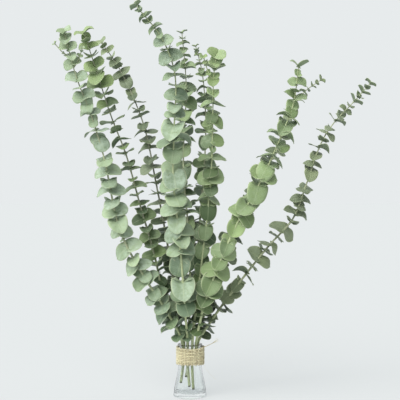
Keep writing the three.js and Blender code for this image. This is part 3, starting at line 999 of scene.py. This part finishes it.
def vase_profile():
    """The outline of the glass from the middle of its base round to the middle of its inside."""
    inner = NECK_RADIUS - WALL
    lip = LIP_HEIGHT / 2
    profile = list(BASE_HOLLOW)
    profile += arc((BASE_RADIUS - FOOT_ROUNDING, FOOT_ROUNDING), FOOT_ROUNDING, -90, 10, 6)
    for i in range(1, FLARE_STEPS + 1):
        t = i / FLARE_STEPS
        radius = mix(BASE_RADIUS, NECK_RADIUS, t - FLARE_DIP * math.sin(2 * math.pi * t))
        profile.append((radius, mix(FOOT_ROUNDING, SHOULDER_HEIGHT, t)))
    profile += [(NECK_RADIUS, 40), (NECK_RADIUS, 48), (NECK_RADIUS, VASE_HEIGHT - LIP_HEIGHT)]
    profile += arc((LIP_RADIUS - lip, VASE_HEIGHT - lip), lip, -60, 90, 8)
    profile += arc((inner + lip, VASE_HEIGHT - lip), lip, 90, 180, 5)
    profile += [(inner, 50), (inner, 42), (inner, SHOULDER_HEIGHT)]
    floor_radius = BASE_RADIUS - WALL
    corner_height = BOTTOM + INSIDE_ROUNDING
    for i in range(1, INSIDE_STEPS):
        t = i / INSIDE_STEPS
        profile.append((mix(inner, floor_radius, t), mix(SHOULDER_HEIGHT, corner_height, t)))
    corner_radius = floor_radius - INSIDE_ROUNDING - 0.2
    profile += arc((corner_radius, corner_height), INSIDE_ROUNDING, 0, -90, 7)
    profile += [(8, BOTTOM - 0.1), (4, BOTTOM + 0.25), (0, BOTTOM + 0.4)]
    return profile


def lathe(profile, sides):
    """A closed surface of revolution whose profile starts and ends on the axis."""
    middle = profile[1:-1]
    vertices = [Vector((0, 0, profile[0][1]))]
    for radius, height in middle:
        for side in range(sides):
            angle = 2 * math.pi * side / sides
            vertices.append(Vector((radius * math.cos(angle), radius * math.sin(angle), height)))
    vertices.append(Vector((0, 0, profile[-1][1])))
    faces = []
    for side in range(sides):
        step = (side + 1) % sides
        faces.append([0, 1 + step, 1 + side])
        for ring in range(len(middle) - 1):
            low, high = 1 + ring * sides, 1 + (ring + 1) * sides
            faces.append([low + side, low + step, high + step, high + side])
        last = 1 + (len(middle) - 1) * sides
        faces.append([last + side, last + step, len(vertices) - 1])
    return vertices, faces


def make_vase():
    """The glass, in one piece."""
    maker = MeshMaker()
    maker.add(*lathe(vase_profile(), VASE_SIDES))
    piece = maker.build("vase_glass", glass_material())
    place_piece(piece, "vase")


# ---------------------------------------------------------------- jute band


def wrap_point(turn, height, depth):
    """A place on the wrapped strip: turn in wraps, height and depth outwards in millimetres."""
    angle = WRAP_START + 2 * math.pi * turn
    lift = LAYER_RISE * clamp((turn - LAYER_START) / LAYER_RAMP)
    ripple = RIPPLE * math.sin(5 * angle + height * 0.6)
    radius = NECK_RADIUS + BAND_GAP + depth + lift + ripple
    wander = WANDER * math.sin(angle * 2 + 1) * (height - BAND_LOW) / WANDER_HEIGHT
    return Vector((radius * math.cos(angle), radius * math.sin(angle), height + wander))


def make_cloth(look):
    """The cloth behind the yarns: a thin closed strip wrapped round the neck, darkened with painted
    shade.
    """
    maker = MeshMaker("yarn_place")
    low, high = BAND_LOW + CLOTH_INSET_LOW, BAND_HIGH - CLOTH_INSET_HIGH
    vertices = []
    for depth in (CLOTH_GAP + CLOTH_THICKNESS, CLOTH_GAP):
        for i in range(CLOTH_STEPS_AROUND + 1):
            turn = WRAPS * i / CLOTH_STEPS_AROUND
            for j in range(CLOTH_STEPS_UP + 1):
                height = mix(low, high, j / CLOTH_STEPS_UP)
                vertices.append(wrap_point(turn, height, depth))
    faces = shell_faces(CLOTH_STEPS_AROUND, CLOTH_STEPS_UP)
    # The cloth's low tone is painted shade, like its darkening in the jute material.
    maker.add(vertices, faces, yarn_place=[(0.0, 0.0, 0.1)] * len(vertices))
    return maker.build("jute_band_cloth", look)


def add_yarn(maker, points, radii, tone):
    """One round yarn.

    yarn_place holds how far the twist has turned, 1 for a yarn or 0 for the cloth, and the tone.
    """
    vertices, faces = tube(points, radii, YARN_SIDES)
    place = []
    for i in range(len(points)):
        turns = [i / 8 + side / YARN_SIDES for side in range(YARN_SIDES)]
        place.extend([(turn, 1.0, tone) for turn in turns])
    maker.add(vertices, faces, yarn_place=place)


def make_weave(look):
    """Plain weave: yarns round the neck and yarns up it, each over one and under the next."""
    maker = MeshMaker("yarn_place")
    uprights = int(WRAPS * 2 * math.pi * WEAVE_RADIUS / YARN_PITCH)
    hoops = int((BAND_HIGH - BAND_LOW) / YARN_PITCH)
    middle = CLOTH_GAP + CLOTH_THICKNESS + YARN_RADIUS + YARN_RISE * 0.6
    for hoop in range(hoops):
        height = mix(BAND_LOW + YARN_RADIUS, BAND_HIGH - YARN_RADIUS, (hoop + 0.5) / hoops)
        tone = 0.5 + 0.5 * scatter(hoop + 0.2)
        thick = YARN_RADIUS * (1.05 + 0.2 * scatter(hoop + 0.7))
        overhang = 0.012 * (1 + scatter(hoop + 0.4))
        points, radii = [], []
        steps = uprights * WEAVE_STEPS
        for i in range(steps + 1):
            turn = (WRAPS + overhang) * i / steps
            weave = math.cos(math.pi * (turn / WRAPS * uprights + hoop))
            drift = 0.16 * scatter(hoop * 3.1 + math.floor(i / 9) * 0.37)
            points.append(wrap_point(turn, height + drift * 0.5, middle + YARN_RISE * weave))
            radii.append(thick * (1 + 0.12 * scatter(i * 0.71 + hoop)))
        add_yarn(maker, points, radii, tone)
    for upright in range(uprights):
        tone = 0.5 + 0.5 * scatter(upright + 300.2)
        thick = YARN_RADIUS * (1.0 + 0.2 * scatter(upright + 300.7))
        low = BAND_LOW - 0.25 - 0.35 * abs(scatter(upright + 300.3))
        high = BAND_HIGH + 0.1 + 0.35 * abs(scatter(upright + 300.5))
        slant = 0.25 * scatter(upright + 300.9)
        points, radii = [], []
        steps = hoops * WEAVE_STEPS
        for i in range(steps + 1):
            t = i / steps
            height = mix(low, high, t)
            weave = -math.cos(math.pi * (t * hoops - 0.5 + upright))
            turn = WRAPS * (upright + 0.5 + slant * (t - 0.5)) / uprights
            points.append(wrap_point(turn, height, middle + YARN_RISE * weave))
            radii.append(thick * (0.55 if i in (0, steps) else 1.0))
        add_yarn(maker, points, radii, tone)
    return maker.build("jute_band_weave", look)


def make_loose_thread(look):
    """The yarn that has come loose at the band's upper right, and opens into fibres."""
    maker = MeshMaker("yarn_place")
    curve = Curve(THREAD_ROUTE)
    for strand in range(THREAD_STRANDS):
        points, radii = [], []
        for i in range(THREAD_STEPS + 1):
            u = THREAD_TWISTED_PART * i / THREAD_STEPS
            point, _, level, other = curve.frame(u)
            angle = 2 * math.pi * (strand / THREAD_STRANDS + u * 5)
            spread = 0.22 * (1 - 0.3 * u)
            points.append(point + (level * math.cos(angle) + other * math.sin(angle)) * spread)
            radii.append(0.26 * (1 - 0.45 * u))
        add_yarn(maker, points, radii, 0.5 + 0.3 * scatter(strand))
    for fibre in range(FRAYED_FIBRES):
        start = 0.45 + 0.25 * abs(scatter(fibre + 0.1))
        reach = 1.0 - 0.18 * abs(scatter(fibre + 0.2))
        points, radii = [], []
        for i in range(FRAYED_FIBRE_STEPS + 1):
            t = i / FRAYED_FIBRE_STEPS
            point, _, level, other = curve.frame(mix(start, reach, t))
            spread = 2.6 * t**1.6
            ray = level * scatter(fibre + 0.3) + other * scatter(fibre + 0.4)
            points.append(point + ray * spread)
            radii.append(0.09 * (1 - 0.5 * t))
        add_yarn(maker, points, radii, 0.8)
    return maker.build("jute_band_loose_thread", look)


def make_stray_fibres(look):
    """Fine fibres that stand off the band, one of them long and hanging."""
    maker = MeshMaker("yarn_place")
    hanging = Curve(HANGING_FIBRE)
    places = [i / HANGING_FIBRE_STEPS for i in range(HANGING_FIBRE_STEPS + 1)]
    points = [hanging.frame(u)[0] for u in places]
    add_yarn(maker, points, [0.07] * len(points), 0.6)
    for fibre in range(STRAY_FIBRES):
        seed = fibre * 1.37 + 500
        turn = abs(scatter(seed))
        height = mix(BAND_LOW, BAND_HIGH, abs(scatter(seed + 0.1)))
        length = 1.6 + 2.2 * abs(scatter(seed + 0.2))
        drift = 0.03 * scatter(seed + 0.3)
        rise = 2.5 * scatter(seed + 0.4)
        points, radii = [], []
        for i in range(STRAY_FIBRE_STEPS + 1):
            t = i / STRAY_FIBRE_STEPS
            depth = 1.3 + length * 0.45 * t
            points.append(wrap_point(turn + drift * t, height + rise * t * t, depth))
            radii.append(0.05 * (1 - 0.5 * t))
        add_yarn(maker, points, radii, 0.8)
    return maker.build("jute_band_stray_fibres", look)


def make_band():
    """The jute band in four pieces."""
    look = jute_material()
    cloth = make_cloth(look)
    weave = make_weave(look)
    thread = make_loose_thread(look)
    fibres = make_stray_fibres(look)
    for piece in (cloth, weave, thread, fibres):
        place_piece(piece, "jute_band")


# ---------------------------------------------------------------- scene


def make_camera():
    """A level camera in front of the bunch."""
    data = bpy.data.cameras.new("camera")
    data.sensor_width = CAMERA_SENSOR
    data.lens = CAMERA_LENS
    camera = bpy.data.objects.new("camera", data)
    camera.location = CAMERA_PLACE
    camera.rotation_euler = (QUARTER_TURN, 0, 0)
    bpy.context.scene.collection.objects.link(camera)
    bpy.context.scene.camera = camera


def make_key_light():
    """One broad, soft sun, from the upper left in front of the bunch."""
    data = bpy.data.lights.new("key_light", "SUN")
    data.energy = KEY_LIGHT_POWER
    data.color = KEY_LIGHT_COLOUR
    data.angle = KEY_LIGHT_ANGLE
    light = bpy.data.objects.new("key_light", data)
    light.location = KEY_LIGHT_PLACE
    direction = Vector(KEY_LIGHT_TARGET) - Vector(KEY_LIGHT_PLACE)
    light.rotation_euler = direction.to_track_quat("-Z", "Y").to_euler()
    bpy.context.scene.collection.objects.link(light)


def make_surround():
    """A pale surround that is darker high up in front, on the right, and so shades the leaves."""
    world = bpy.data.worlds.new("studio_surround")
    world.use_nodes = True
    tree = world.node_tree
    background = tree.nodes["Background"]
    coordinates = tree.nodes.new("ShaderNodeTexCoord")
    dot = tree.nodes.new("ShaderNodeVectorMath")
    dot.operation = "DOT_PRODUCT"
    dot.inputs[1].default_value = DARK_SIDE
    ramp = tree.nodes.new("ShaderNodeMapRange")
    ramp.interpolation_type = "SMOOTHSTEP"
    ramp.inputs["From Min"].default_value = DARK_FROM
    ramp.inputs["From Max"].default_value = 1.0
    ramp.inputs["To Min"].default_value = 1.0
    ramp.inputs["To Max"].default_value = DARK_STRENGTH
    background.inputs["Color"].default_value = SURROUND
    tree.links.new(coordinates.outputs["Generated"], dot.inputs[0])
    tree.links.new(dot.outputs["Value"], ramp.inputs["Value"])
    tree.links.new(ramp.outputs["Result"], background.inputs["Strength"])
    bpy.context.scene.world = world


def make_studio():
    """A pale floor, one soft light and a pale surround."""
    maker = MeshMaker()
    angles = [2 * math.pi * i / FLOOR_SIDES for i in range(FLOOR_SIDES)]
    rim = [Vector((math.cos(a), math.sin(a), 0)) * FLOOR_RADIUS / MM for a in angles]
    maker.add(rim, [list(range(FLOOR_SIDES))])
    maker.build("studio_floor", floor_material())
    make_key_light()
    make_surround()
    settings = bpy.context.scene.view_settings
    settings.view_transform = "Standard"
    settings.look = "None"


def main():
    """Makes the camera, the studio and every visible piece."""
    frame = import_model()
    make_camera()
    make_studio()
    looks = {name: leaf_material(name, *colours) for name, colours in LEAF_COLOURS.items()}
    stem_look = stem_material()
    for index, branch in enumerate(BRANCHES):
        make_branch(index, branch, frame["nodes"][branch["name"]], looks, stem_look)
    make_vase()
    make_band()
    bpy.context.view_layer.update()


main()
